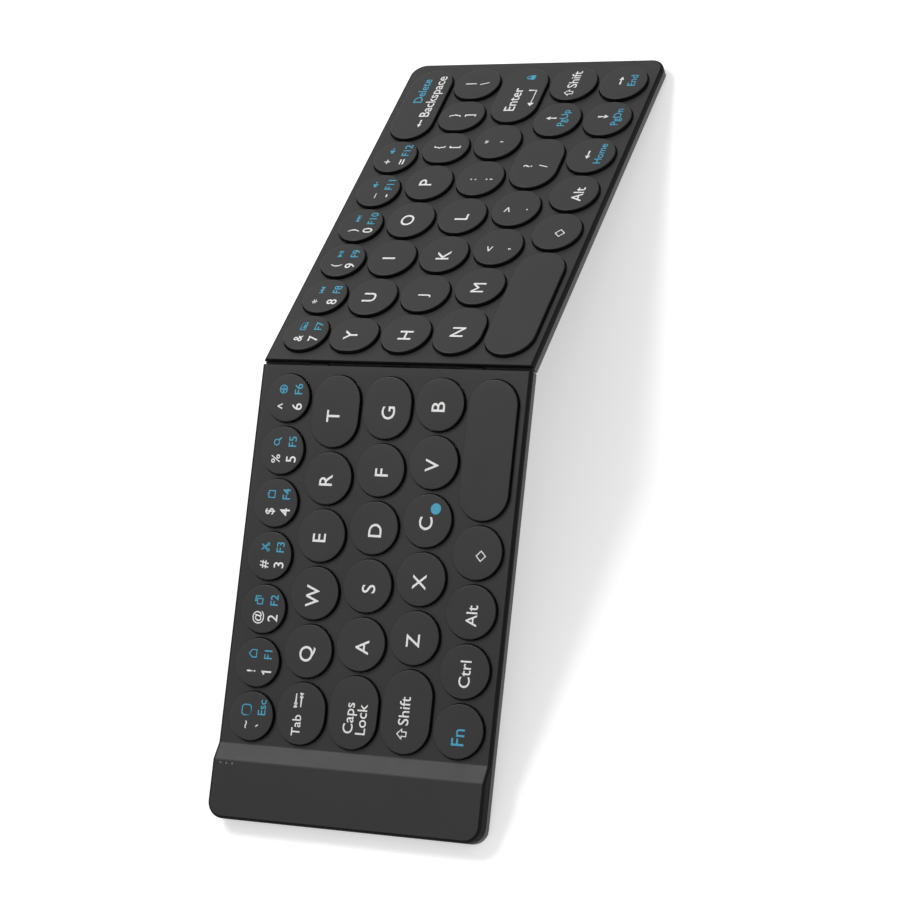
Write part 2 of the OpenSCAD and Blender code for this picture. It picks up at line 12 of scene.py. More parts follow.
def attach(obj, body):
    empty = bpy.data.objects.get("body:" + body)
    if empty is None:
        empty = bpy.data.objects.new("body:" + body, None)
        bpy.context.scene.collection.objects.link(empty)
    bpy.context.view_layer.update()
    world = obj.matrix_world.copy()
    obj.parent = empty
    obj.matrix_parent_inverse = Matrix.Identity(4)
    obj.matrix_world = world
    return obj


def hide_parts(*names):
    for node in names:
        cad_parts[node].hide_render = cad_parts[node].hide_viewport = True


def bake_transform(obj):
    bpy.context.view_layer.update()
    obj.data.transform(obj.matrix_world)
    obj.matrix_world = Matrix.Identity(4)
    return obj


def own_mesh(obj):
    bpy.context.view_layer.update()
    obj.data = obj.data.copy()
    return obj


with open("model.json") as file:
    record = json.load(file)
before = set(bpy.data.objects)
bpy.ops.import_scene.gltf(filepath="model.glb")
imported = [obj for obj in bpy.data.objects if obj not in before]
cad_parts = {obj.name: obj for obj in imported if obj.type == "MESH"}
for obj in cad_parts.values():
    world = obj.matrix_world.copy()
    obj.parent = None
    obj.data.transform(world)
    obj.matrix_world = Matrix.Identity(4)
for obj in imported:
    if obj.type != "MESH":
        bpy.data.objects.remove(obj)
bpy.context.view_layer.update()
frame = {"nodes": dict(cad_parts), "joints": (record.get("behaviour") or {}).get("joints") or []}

# --- Top covers -------------------------------------------------------------------------
# Two injection-moulded decks of black ABS with a fine spark-eroded grain and a matt coat
# on top, one hole for each key. The left one rises over the battery at its outer end.
# Each clips and screws to its bottom shell.
MM = 0.001
HALF_LEN, DEPTH, CORNER_R, DECK_T, WALL_T = 150, 98, 5.5, 1.2, 1.0
SEAM = 0.3  # the slit between the halves when they lie flat
PIN_U, PIN_DEPTH = 3.25, 2.0  # hinge pins: from the seam, and below the deck
EDGE_R, HOLE_R, RIM_CHAMFER = 0.9, 0.1, 0.12
SEAM_SHARE = 0.3  # the seam edge is this much as soft as the others
HUMP_H, HUMP_LEN, SLOPE_LEN = 2.5, 24.5, 5.6
FOOT_SOFT, CREST_SOFT = 0.3, 0.5  # the bends at the slope's foot and top, to each side
WELD = 1e-4
joints = {j["name"]: j for j in frame["joints"]}
SIDES = {"left": -1, "right": 1}


def flat_to_tent(half):
    """Puts a flat-drawn half in the tent: x from the seam to the typist's right, y from
    the near edge, z = 0 on the deck."""
    side = SIDES[half]
    pin = Vector(joints[half + "_hinge"]["pos_m"])
    up = Vector(joints["space_" + half + "_press"]["axis"])
    along = Vector((up.z, 0, -up.x))
    turn = Matrix((along, Vector((0, 1, 0)), up)).transposed().to_4x4()
    zero = pin - along * side * PIN_U * MM + up * PIN_DEPTH * MM
    zero.y = -DEPTH / 2 * MM
    return Matrix.Translation(zero) @ turn @ Matrix.Scale(MM, 4)


def tent_mesh(name, bm, half):
    """Turns a flat bmesh in mm into a mesh that stands in the tent."""
    bmesh.ops.recalc_face_normals(bm, faces=bm.faces)
    mesh = bpy.data.meshes.new(name)
    bm.to_mesh(mesh)
    bm.free()
    mesh.transform(flat_to_tent(half))
    return mesh


def new_object(name, data):
    obj = bpy.data.objects.new(name, data)
    bpy.context.scene.collection.objects.link(obj)
    return obj


def piece(name, bm, half, body, materials, crease_deg=35):
    """Makes a piece of a flat bmesh in mm. It rides on a body, if one is given."""
    bmesh.ops.remove_doubles(bm, verts=bm.verts, dist=WELD)
    mesh = tent_mesh(name, bm, half)
    for m in materials:
        mesh.materials.append(m)
    obj = new_object(name, mesh)
    mesh.shade_smooth()
    mesh.set_sharp_from_angle(angle=math.radians(crease_deg))
    even = obj.modifiers.new("even_shading", "WEIGHTED_NORMAL")
    even.keep_sharp = True
    if body:
        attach(obj, body)
    return obj


def arc(cx, cy, r, start, end, steps):
    """Points on a round arc, from one angle in degrees to another."""
    return [(cx + r * math.cos(math.radians(start + (end - start) * i / steps)),
             cy + r * math.sin(math.radians(start + (end - start) * i / steps)))
            for i in range(steps + 1)]


def half_outline(side, inset, steps=14):
    """Outline of a half: square and crisp at the seam, round and softer elsewhere."""
    cx, r = HALF_LEN - CORNER_R, CORNER_R - inset
    u0 = SEAM / 2 + inset * SEAM_SHARE
    points = ([(u0, inset)] + arc(cx, CORNER_R, r, -90, 0, steps)
              + arc(cx, DEPTH - CORNER_R, r, 0, 90, steps) + [(u0, DEPTH - inset)])
    return [(side * u, y) for u, y in points]


def stadium(cx, cy, w, h, grow=0.0, steps=24):
    """A disc when w equals h, else a bar with half-round ends."""
    r = min(w, h) / 2 + grow
    dx, dy = max(w - h, 0) / 2, max(h - w, 0) / 2
    if dx or not dy:
        return (arc(cx + dx, cy, r, -90, 90, steps) + arc(cx - dx, cy, r, 90, 270, steps))
    return (arc(cx, cy + dy, r, 0, 180, steps) + arc(cx, cy - dy, r, 180, 360, steps))


def join_rings(bm, rings, material=0):
    """Joins each ring of vertices to the next one by quads."""
    for low, high in zip(rings, rings[1:]):
        for i in range(len(low)):
            j = (i + 1) % len(low)
            quad = bm.faces.new((low[i], low[j], high[j], high[i]))
            quad.material_index = material


def wall(bm, outline, levels, material=0):
    """Skin through one outline at each (inset, z). Gives the first and the last ring."""
    rings = [[bm.verts.new((x, y, z)) for x, y in outline(inset)] for inset, z in levels]
    join_rings(bm, rings, material)
    return rings[0], rings[-1]


def fill_between(bm, rings, material=0):
    """Flat skin inside the first ring of vertices. The other rings are round holes, so a
    triangle with all its corners on one of them lies in the hole and is left out."""
    corners = [(v, n) for n, ring in enumerate(rings) for v in ring]
    edges, first = [], 0
    for ring in rings:
        edges += [(first + i, first + (i + 1) % len(ring)) for i in range(len(ring))]
        first += len(ring)
    keep_inside, merge = 1, 1e-5
    _, _, faces, source, _, _ = delaunay_2d_cdt([v.co.xy for v, _ in corners], edges, [],
                                                keep_inside, merge)
    for face in faces:
        verts, homes = zip(*(corners[source[i][0]] for i in face))
        if len(set(homes)) > 1 or homes[0] == 0:
            bm.faces.new(verts).material_index = material


def rounded(r, z, steps=4):
    """(inset, z) levels of a rounded upper edge of radius r under a top at z."""
    turns = [math.radians(90 * i / steps) for i in range(steps + 1)]
    return [(r * (1 - math.cos(turn)), z - r * (1 - math.sin(turn))) for turn in turns]


def soft_ramp(x, k):
    """Zero below 0, then x, with the corner rounded over k to each side."""
    return 0 if x < -k else x if x > k else (x + k) ** 2 / (4 * k)


FOOT_U = HALF_LEN - HUMP_LEN
CREST_U = FOOT_U + SLOPE_LEN


def rise(u):
    """How far the left deck rises at a distance u from the seam."""
    ramps = soft_ramp(u - FOOT_U, FOOT_SOFT) - soft_ramp(u - CREST_U, CREST_SOFT)
    return HUMP_H / SLOPE_LEN * ramps


# Keys of each row from left to right, nearest row first: name and width, where width 0
# takes the rest of the row. A row without such a key spreads its gaps. Other wide keys
# take so many key pitches.
KEY_D, NUM_D, KEY_GAP, KEY_CLEAR = 17.3, 15.95, 1.5, 0.3
NEAR_MARGIN, HINGE_MARGIN, END_MARGIN, SLOPE_MARGIN = 3.05, 3.6, 5.1, 1.2
PITCH = KEY_D + KEY_GAP
TAB_W, CAPS_W, SHIFT_W = (room * PITCH - KEY_GAP for room in (1.15, 1.33, 1.5))
SLIM_W, N_W = (room * PITCH - KEY_GAP for room in (0.894, 1.197))
ROWS = {
    "left": [
        [("fn", KEY_D), ("control", KEY_D), ("alt_left", KEY_D), ("command_left", KEY_D),
         ("space_left", 0)],
        [("shift_left", SHIFT_W), ("z", KEY_D), ("x", KEY_D), ("c", KEY_D), ("v", KEY_D),
         ("b", 0)],
        [("caps", CAPS_W), ("a", KEY_D), ("s", KEY_D), ("d", KEY_D), ("f", KEY_D),
         ("g", 0)],
        [("tab", TAB_W), ("q", KEY_D), ("w", KEY_D), ("e", KEY_D), ("r", KEY_D),
         ("t", 0)],
        [(n, NUM_D) for n in ("grave", "1", "2", "3", "4", "5", "6")]],
    "right": [
        [("space_right", 0), ("command_right", KEY_D), ("alt_right", KEY_D),
         ("arrow_left", KEY_D), ("arrow_down", KEY_D), ("arrow_right", KEY_D)],
        [("n", N_W), ("m", KEY_D), ("comma", KEY_D), ("stop", KEY_D), ("slash", 0),
         ("arrow_up", KEY_D), ("shift_right", KEY_D)],
        [(n, KEY_D) for n in ("h", "j", "k", "l", "semicolon", "quote")] + [("enter", 0)],
        [("y", SLIM_W), ("u", KEY_D), ("i", KEY_D), ("o", KEY_D), ("p", KEY_D),
         ("bracket_open", SLIM_W), ("bracket_close", SLIM_W), ("backslash", 0)],
        [(n, NUM_D) for n in ("7", "8", "9", "0", "minus", "equals")]
        + [("backspace", 0)]],
}
NUM_ROW = 4
FIELD = {"left": HALF_LEN - HUMP_LEN - SLOPE_MARGIN - HINGE_MARGIN,
         "right": HALF_LEN - HINGE_MARGIN - END_MARGIN}


def lay_keys(half):
    """Every key of a half: name to (x, y, width, height, row)."""
    keys, room = {}, FIELD[half]
    for row, names in enumerate(ROWS[half]):
        spare = room - sum(w for _, w in names)
        fills = any(w == 0 for _, w in names)
        gap = KEY_GAP if fills else spare / (len(names) - 1)
        height = KEY_D if row < NUM_ROW else NUM_D
        y = NEAR_MARGIN + row * PITCH + height / 2
        x = -HINGE_MARGIN - room if half == "left" else HINGE_MARGIN
        for name, w in names:
            w = w or spare - gap * (len(names) - 1)
            keys[name] = (x + w / 2, y, w, height, row)
            x += w + gap
    return keys


keys = {half: lay_keys(half) for half in SIDES}


def linear(hex_colour):
    """An sRGB hex colour as the linear RGBA that shaders take."""
    parts = [int(hex_colour[i:i + 2], 16) / 255 for i in (1, 3, 5)]
    return [p / 12.92 if p <= 0.04045 else ((p + 0.055) / 1.055) ** 2.4
            for p in parts] + [1]


def add_node(tree, kind, inputs=None, **settings):
    """Adds a node with its settings, its input values and its links."""
    node = tree.nodes.new("ShaderNode" + kind)
    for key, value in settings.items():
        setattr(node, key, value)
    for key, value in (inputs or {}).items():
        if isinstance(value, bpy.types.NodeSocket):
            tree.links.new(value, node.inputs[key])
        else:
            node.inputs[key].default_value = value
    return node


def new_material(name, **shader):
    """A material whose Principled shader has the given constants; gives all three."""
    mat = bpy.data.materials.new(name)
    mat.use_nodes = True
    bsdf = mat.node_tree.nodes["Principled BSDF"]
    for key, value in shader.items():
        bsdf.inputs[key.replace("_", " ")].default_value = value
    return mat, mat.node_tree, bsdf


def repeat(mm):
    """The texture scale at which a grain or spot is so many mm across."""
    return 1000 / mm


def shade(colour, factor):
    """A hex colour made darker or lighter by a factor, as linear RGBA."""
    return [min(1, part * factor) for part in linear(colour)[:3]] + [1]


CLOUD_MM, CLOUD_TONE = 35, 0.12


def moulded(name, colour, rough, grain_mm, grain_depth_mm, smudge=0.05, gloss=0.5):
    """Plastic from an eroded mould: even grain, slight clouds in colour and sheen."""
    mat, tree, bsdf = new_material(name, IOR=1.54, Specular_IOR_Level=gloss)
    place = add_node(tree, "TexCoord").outputs["Object"]
    cloud = add_node(tree, "TexNoise", {"Vector": place, "Scale": repeat(CLOUD_MM),
                                        "Detail": 3.0})
    fleck = add_node(tree, "TexNoise", {"Vector": place, "Scale": repeat(grain_mm),
                                        "Detail": 2.0})
    both = add_node(tree, "Math", {0: cloud.outputs["Fac"], 1: fleck.outputs["Fac"]})
    tone = add_node(tree, "MapRange", {"Value": both.outputs[0], "From Min": 0.7,
                                       "From Max": 1.3, "To Min": 0.0, "To Max": 1.0})
    mix = add_node(tree, "Mix", {"Factor": tone.outputs[0],
                                 "A": shade(colour, 1 - CLOUD_TONE),
                                 "B": shade(colour, 1 + CLOUD_TONE)}, data_type="RGBA")
    tree.links.new(mix.outputs["Result"], bsdf.inputs["Base Color"])
    shine = add_node(tree, "MapRange", {"Value": cloud.outputs["Fac"], "From Min": 0.3,
                                        "From Max": 0.7, "To Min": rough - smudge,
                                        "To Max": rough + smudge})
    tree.links.new(shine.outputs[0], bsdf.inputs["Roughness"])
    bump = add_node(tree, "Bump", {"Height": fleck.outputs["Fac"], "Strength": 0.35,
                                   "Distance": grain_depth_mm * MM})
    tree.links.new(bump.outputs[0], bsdf.inputs["Normal"])
    return mat


# The coat spreads light softly and gives a charcoal sheen. Under it the moulding is black ABS;
# on every side wall, rounded rim and key hole, and on the keys' sides, it is drawn near black
# as painted shade. The real grain is about 0.1 mm across, and is drawn coarser so it shows.
deck_coat = moulded("abs_matt_charcoal_coat", "#272728", rough=0.45, grain_mm=0.45,
                    grain_depth_mm=0.03, gloss=0.24)
painted_shade_abs = moulded("abs_black_painted_shade", "#09090a", rough=0.6, grain_mm=0.45,
                   grain_depth_mm=0.02, gloss=0.1)

# Lamps at the top of the slope, the socket's mouth in the far side wall, and how far the
# battery's room stays inside the side walls and the sloped face
LAMP_R, LAMP_CLEAR, LAMP_U = 0.45, 0.05, CREST_U + 1.0
LAMP_Y = [DEPTH - 7.5, DEPTH - 5.3, DEPTH - 3.1]
PORT_U, PORT_W, PORT_H, PORT_FLOOR = HALF_LEN - 11.5, 8.94, 3.26, -2.8
PORT_CLEAR, MOUTH_DEPTH = 0.1, 4
ROOM_END, ROOM_SIDE, ROOM_SILL, CUT_PAST = 0.4, 0.6, 0.05, 1
KEY_STEPS, LAMP_STEPS = 24, 8


def loft(bm, outlines):
    """A closed skin through outlines of points in mm, flat at both ends."""
    rings = [[bm.verts.new(p) for p in outline] for outline in outlines]
    join_rings(bm, rings)
    bm.faces.new(rings[0])
    bm.faces.new(rings[-1])


def worked_out(obj):
    """The mesh of an object with its modifiers, or its lettering, worked out."""
    bpy.context.view_layer.update()
    return bpy.data.meshes.new_from_object(
        obj.evaluated_get(bpy.context.evaluated_depsgraph_get()))


def cut(obj, name, outlines):
    """Takes the closed skin through the outlines out of a left-half object."""
    bm = bmesh.new()
    loft(bm, outlines)
    tool = new_object(name, tent_mesh(name, bm, "left"))
    boolean = obj.modifiers.new(name, "BOOLEAN")
    boolean.operation, boolean.solver, boolean.object = "DIFFERENCE", "EXACT", tool
    done = worked_out(obj)
    obj.modifiers.remove(boolean)
    obj.data = done
    bpy.data.objects.remove(tool)


for half, side in SIDES.items():
    bm = bmesh.new()
    # The rim and every key hole take the near-black moulding: painted shade on the side walls
    rim = [(RIM_CHAMFER, -DECK_T), (0, -DECK_T + RIM_CHAMFER)] + rounded(EDGE_R, 0)
    low, high = wall(bm, lambda inset: half_outline(side, inset), rim, 1)
    under, over = [low], [high]
    holes = [(x, y, w, h, KEY_CLEAR, KEY_STEPS) for x, y, w, h, _ in keys[half].values()]
    if half == "left":
        holes += [(-LAMP_U, y, 2 * LAMP_R, 2 * LAMP_R, LAMP_CLEAR, LAMP_STEPS)
                  for y in LAMP_Y]
    for x, y, w, h, clear, steps in holes:
        low, high = wall(bm, lambda inset: stadium(x, y, w, h, clear + inset, steps),
                         [(0, -DECK_T)] + rounded(HOLE_R, 0, steps=2), 1)
        under.append(low)
        over.append(high)
    fill_between(bm, under, 1)
    fill_between(bm, over)
    if half == "left":
        for bend_u, soft, cuts in ((FOOT_U, FOOT_SOFT, 3), (CREST_U, CREST_SOFT, 4)):
            for i in range(-cuts, cuts + 1):
                bmesh.ops.bisect_plane(bm, geom=bm.verts[:] + bm.edges[:] + bm.faces[:],
                                       plane_co=(-bend_u - soft * i / cuts, 0, 0),
                                       plane_no=(1, 0, 0))
        for v in bm.verts:
            if v.co.z > (-EDGE_R - DECK_T) / 2:
                v.co.z += rise(-v.co.x)
    cover = piece(half + "_cover_moulding", bm, half, half + "_half",
                  [deck_coat, painted_shade_abs])
    if half == "left":
        lean, inner = DECK_T / 2, HALF_LEN - WALL_T - ROOM_END
        below, ceiling = -DECK_T - CUT_PAST, HUMP_H - DECK_T
        side_view = [(FOOT_U + lean, below), (FOOT_U + lean, -DECK_T - ROOM_SILL),
                     (CREST_U + lean, ceiling), (inner, ceiling), (inner, below)]
        cut(cover, "battery_room",
            [[(-u, y, z) for u, z in side_view]
             for y in (WALL_T + ROOM_SIDE, DEPTH - WALL_T - ROOM_SIDE)])
        mouth = stadium(PORT_U, PORT_FLOOR + PORT_H / 2, PORT_W, PORT_H, PORT_CLEAR)
        cut(cover, "socket_mouth", [[(-u, y, z) for u, z in mouth]
                                    for y in (DEPTH - MOUTH_DEPTH, DEPTH + CUT_PAST)])
    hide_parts(half + "_top_cover")

# --- Keycaps ----------------------------------------------------------------------------
# 65 low caps of moulded ABS with a matt top and a softly rounded rim, each with a stem
# that slides in the guide plate. They pass up through the holes of the covers.
KEY_RISE, CAP_T, SKIRT_Z, SKIRT_T, CAP_EDGE_R = 1.4, 1.0, -0.4, 1.0, 0.35
CROWN = 0.06  # the top's middle stands this much above its rim
CROWN_LEVELS = [(-2.5, 0.45), (-5.0, 0)]  # (growth, share of the crown still to climb)
COAT_EDGE = 0.45  # the matt top ends at this share of the rim's rounding, from above
STEM_R, STEM_Z, STEM_TAPER, STEM_SINK, WIDE_FROM = 2.0, -1.7, 0.2, 0.02, 30

# A finer grain than the deck's and a shade lighter, so that the keys just stand out
key_coat = moulded("abs_matt_keycap_top", "#2a2a2b", rough=0.45, grain_mm=0.4,
                   grain_depth_mm=0.02, gloss=0.24)

# The keys in each body that holds more than one; the others have a body of their own
NODE_KEYS = {"left_number_keys": ["grave", "1", "2", "3", "4", "5", "6"],
             "left_modifier_keys": ["fn", "control", "alt_left", "command_left"],
             "left_side_keys": ["tab", "caps", "shift_left"],
             "right_number_keys": ["7", "8", "9", "0", "minus", "equals"],
             "punctuation_keys": ["bracket_open", "bracket_close", "backslash",
                                  "semicolon", "quote", "comma", "stop", "slash"],
             "right_side_keys": ["backspace", "enter", "shift_right"],
             "bottom_row_keys": ["command_right", "alt_right", "arrow_left", "arrow_down",
                                 "arrow_right", "arrow_up"]}
grouped = {name for names in NODE_KEYS.values() for name in names}
for half in SIDES:
    for name in keys[half]:
        if name not in grouped:
            NODE_KEYS["key_" + name] = [name]


def half_of(name):
    return "left" if name in keys["left"] else "right"


def keycap(bm, x, y, w, h):
    """A hollow cap with a round rim, a faint crown and one stem, or three when wide."""
    rim = rounded(CAP_EDGE_R, KEY_RISE - CROWN, steps=5)
    levels = ([(-SKIRT_T, KEY_RISE - CAP_T), (-SKIRT_T, SKIRT_Z), (0, SKIRT_Z)]
              + [(-inset, z) for inset, z in rim]
              + [(grow, KEY_RISE - CROWN * left) for grow, left in CROWN_LEVELS])
    under, top = wall(bm, lambda grow: stadium(x, y, w, h, grow), levels, 1)
    bm.faces.new(under).material_index = 1
    bm.faces.new(top)
    stem = [(-STEM_TAPER, STEM_Z), (0, STEM_Z + STEM_TAPER),
            (0, KEY_RISE - CAP_T + STEM_SINK)]
    for dx in ([0] if w < WIDE_FROM else [-(w - h) / 2, 0, (w - h) / 2]):
        low, high = wall(bm, lambda grow: stadium(x + dx, y, 2 * STEM_R, 2 * STEM_R, grow,
                                                  steps=12), stem, 1)
        bm.faces.new(low).material_index = 1
        bm.faces.new(high).material_index = 1


for node, names in NODE_KEYS.items():
    bm = bmesh.new()
    for name in names:
        keycap(bm, *keys[half_of(name)][name][:4])
    # Faces of the top keep the coat; the rim below COAT_EDGE and the cap's side stay near black,
    # as painted shade
    for f in bm.faces:
        if all(v.co.z > KEY_RISE - CROWN - CAP_EDGE_R * COAT_EDGE for v in f.verts):
            f.material_index = 0
    cap = piece(node + "_caps", bm, half_of(names[0]), node, [key_coat, painted_shade_abs],
                crease_deg=30)
    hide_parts(node)

# --- Legends ----------------------------------------------------------------------------
# White and cyan-blue ink, pad-printed on the caps and cured: a flat, slightly raised
# film. Words, digits, arrows and plain signs only.
INK_Z, INK_T = KEY_RISE + 0.01, 0.02
THIN_SPOT_MM, THIN_TONE = 0.6, 0.86


def printed_ink(name, colour):
    """Pad-printing ink: matt and full, with faint thin spots from the silicone pad."""
    mat, tree, bsdf = new_material(name, Roughness=0.6, IOR=1.5)
    place = add_node(tree, "TexCoord").outputs["Object"]
    thin = add_node(tree, "TexNoise", {"Vector": place, "Scale": repeat(THIN_SPOT_MM),
                                       "Detail": 2.0})
    tone = add_node(tree, "MapRange", {"Value": thin.outputs["Fac"], "From Min": 0.3,
                                       "From Max": 0.6, "To Min": 0.0, "To Max": 1.0})
    mix = add_node(tree, "Mix", {"Factor": tone.outputs[0], "A": shade(colour, THIN_TONE),
                                 "B": linear(colour)}, data_type="RGBA")
    tree.links.new(mix.outputs["Result"], bsdf.inputs["Base Color"])
    bump = add_node(tree, "Bump", {"Height": thin.outputs["Fac"], "Strength": 0.2,
                                   "Distance": 0.005 * MM})
    tree.links.new(bump.outputs[0], bsdf.inputs["Normal"])
    return mat


white_ink = printed_ink("pad_ink_white", "#f4f4f2")
cyan_ink = printed_ink("pad_ink_cyan", "#43a5c6")
INKS = {"white": 0, "cyan": 1}

CAP_PER_SIZE = 0.69  # height of a capital at font size 1
TEXT_WEIGHT = 0.006  # added all round at font size 1, as the real letters are heavier


def print_text(bm, words, x, y, cap_height, ink):
    """Sets words centred at x, y with capitals of the given height, as solid film. In
    this font the J hangs below the line, and the M folds over when it is made heavier."""
    curve = bpy.data.curves.new("words", "FONT")
    curve.body, curve.align_x = words, "CENTER"
    curve.size = cap_height / CAP_PER_SIZE
    curve.offset = 0 if words == "M" else TEXT_WEIGHT * curve.size
    curve.extrude = INK_T / 2
    curve.resolution_u = 4
    text = new_object("words", curve)
    mesh = worked_out(text)
    if words == "J":
        low, high = (pick(v.co.y for v in mesh.vertices) for pick in (min, max))
        mesh.transform(Matrix.Scale(cap_height / (high - low), 4)
                       @ Matrix.Translation((0, -low, 0)))
    mesh.transform(Matrix.Translation((x, y - cap_height / 2, INK_Z)))
    for p in mesh.polygons:
        p.material_index = ink
    bm.from_mesh(mesh)
    bpy.data.objects.remove(text)
    bpy.data.meshes.remove(mesh)


SIGN_LINE, MITRE_MIN = 0.34, 0.5


def print_line(bm, points, ink, closed=False):
    """Prints a bent line of even width through points, as solid film."""
    n = len(points)
    left, right = [], []
    for i, (x, y) in enumerate(points):
        before = points[i - 1] if closed or i else points[i]
        after = points[(i + 1) % n] if closed or i < n - 1 else points[i]
        d1 = Vector((x - before[0], y - before[1]))
        d2 = Vector((after[0] - x, after[1] - y))
        d1, d2 = (d1 or d2).normalized(), (d2 or d1).normalized()
        mitre = Vector((-d1.y - d2.y, d1.x + d2.x)).normalized()
        reach = SIGN_LINE / 2 / max(MITRE_MIN, mitre.dot(Vector((-d1.y, d1.x))))
        left.append((x + mitre.x * reach, y + mitre.y * reach))
        right.append((x - mitre.x * reach, y - mitre.y * reach))
    for i in range(n if closed else n - 1):
        j = (i + 1) % n
        print_shape(bm, [left[i], left[j], right[j], right[i]], ink)


def print_shape(bm, points, ink):
    """Prints a filled outline as solid film."""
    low = [bm.verts.new((x, y, INK_Z - INK_T / 2)) for x, y in points]
    high = [bm.verts.new((x, y, INK_Z + INK_T / 2)) for x, y in points]
    bm.faces.new(low).material_index = ink
    bm.faces.new(high).material_index = ink
    join_rings(bm, [low, high], ink)


# Plain signs in a box from -1 to 1: open lines, closed lines and filled shapes
SPEAKER = [(-0.8, -0.3), (-0.4, -0.3), (0.1, -0.7), (0.1, 0.7), (-0.4, 0.3), (-0.8, 0.3)]
SIGNS = {
    "arrow": {"lines": [[(-1, 0), (0.3, 0)]],
              "fills": [[(0.2, 0.45), (1, 0), (0.2, -0.45)]]},
    "tab_arrows": {"lines": [[(-0.9, 0.45), (1, 0.45)], [(0.9, -0.45), (-1, -0.45)],
                             [(-1, 0.75), (-1, 0.15)], [(1, -0.15), (1, -0.75)]],
                   "fills": [[(-0.4, 0.8), (-1, 0.45), (-0.4, 0.1)],
                             [(0.4, -0.1), (1, -0.45), (0.4, -0.8)]]},
    "enter_arrow": {"lines": [[(1, 0.5), (1, -0.2), (-0.6, -0.2)]],
                    "fills": [[(-0.6, 0.1), (-1, -0.2), (-0.6, -0.5)]]},
    "shift_arrow": {"loops": [[(0, 1), (0.85, 0.1), (0.4, 0.1), (0.4, -0.8), (-0.4, -0.8),
                               (-0.4, 0.1), (-0.85, 0.1)]]},
    "flag_of_one": {"lines": [[(-0.5, 0.45), (0.05, 0.85)]]},
    "diamond": {"loops": [[(0, -0.9), (0.9, 0), (0, 0.9), (-0.9, 0)]]},
    "dot": {"fills": [arc(0, 0, 0.9, 0, 330, 11)]},
    "screen": {"loops": [[(-0.8, -0.5), (-0.5, -0.8), (0.5, -0.8), (0.8, -0.5),
                          (0.8, 0.5), (0.5, 0.8), (-0.5, 0.8), (-0.8, 0.5)]]},
    "house": {"loops": [[(-0.75, -0.8), (0.75, -0.8), (0.75, 0.2), (0, 0.9),
                         (-0.75, 0.2)]]},
    "sheets": {"loops": [[(-0.8, -0.8), (0.3, -0.8), (0.3, 0.4), (-0.8, 0.4)]],
               "lines": [[(-0.3, 0.8), (0.8, 0.8), (0.8, -0.4)]]},
    "scissors": {"lines": [[(-0.5, -0.5), (0.6, 0.9)], [(0.5, -0.5), (-0.6, 0.9)]],
                 "loops": [arc(-0.6, -0.65, 0.25, 0, 315, 7),
                           arc(0.6, -0.65, 0.25, 0, 315, 7)]},
    "clipboard": {"loops": [[(-0.7, -0.8), (0.7, -0.8), (0.7, 0.6), (-0.7, 0.6)]],
                  "fills": [[(-0.35, 0.45), (0.35, 0.45), (0.35, 0.9), (-0.35, 0.9)]]},
    "lens": {"loops": [arc(-0.15, 0.2, 0.6, 0, 330, 11)],
             "lines": [[(0.3, -0.25), (0.85, -0.85)]]},
    "globe": {"loops": [arc(0, 0, 0.85, 0, 330, 11)],
              "lines": [[(-0.85, 0), (0.85, 0)], [(0, -0.85), (0, 0.85)]]},
    "panel": {"loops": [[(-1, -0.55), (1, -0.55), (1, 0.55), (-1, 0.55)]],
              "lines": [[(-0.6, -0.15), (0.6, -0.15)]]},
    "back": {"fills": [[(0, 0.5), (-0.8, 0), (0, -0.5)],
                       [(0.8, 0.5), (0, 0), (0.8, -0.5)],
                       [(-1, -0.5), (-0.8, -0.5), (-0.8, 0.5), (-1, 0.5)]]},
    "play": {"fills": [[(-0.9, 0.55), (0, 0), (-0.9, -0.55)],
                       [(0.2, -0.5), (0.42, -0.5), (0.42, 0.5), (0.2, 0.5)],
                       [(0.65, -0.5), (0.87, -0.5), (0.87, 0.5), (0.65, 0.5)]]},
    "next": {"fills": [[(0, 0.5), (0.8, 0), (0, -0.5)],
                       [(-0.8, 0.5), (0, 0), (-0.8, -0.5)],
                       [(0.8, -0.5), (1, -0.5), (1, 0.5), (0.8, 0.5)]]},
    "quiet": {"fills": [SPEAKER], "lines": [[(0.4, 0), (0.9, 0)]]},
    "loud": {"fills": [SPEAKER],
             "lines": [[(0.4, 0), (0.9, 0)], [(0.65, -0.25), (0.65, 0.25)]]},
    "lock": {"fills": [[(-0.6, -0.8), (0.6, -0.8), (0.6, 0.1), (-0.6, 0.1)]],
             "lines": [[(-0.35, 0.1), (-0.35, 0.6), (0, 0.85), (0.35, 0.6),
                        (0.35, 0.1)]]},
}


def print_sign(bm, sign, x, y, size, ink, turn=0):
    """Prints a plain sign of the given size, turned by degrees."""
    c, s = math.cos(math.radians(turn)), math.sin(math.radians(turn))

    def put(points):
        return [(x + (a * c - b * s) * size / 2, y + (a * s + b * c) * size / 2)
                for a, b in points]

    for line in sign.get("lines", []):
        print_line(bm, put(line), ink)
    for loop in sign.get("loops", []):
        print_line(bm, put(loop), ink, closed=True)
    for fill in sign.get("fills", []):
        print_shape(bm, put(fill), ink)


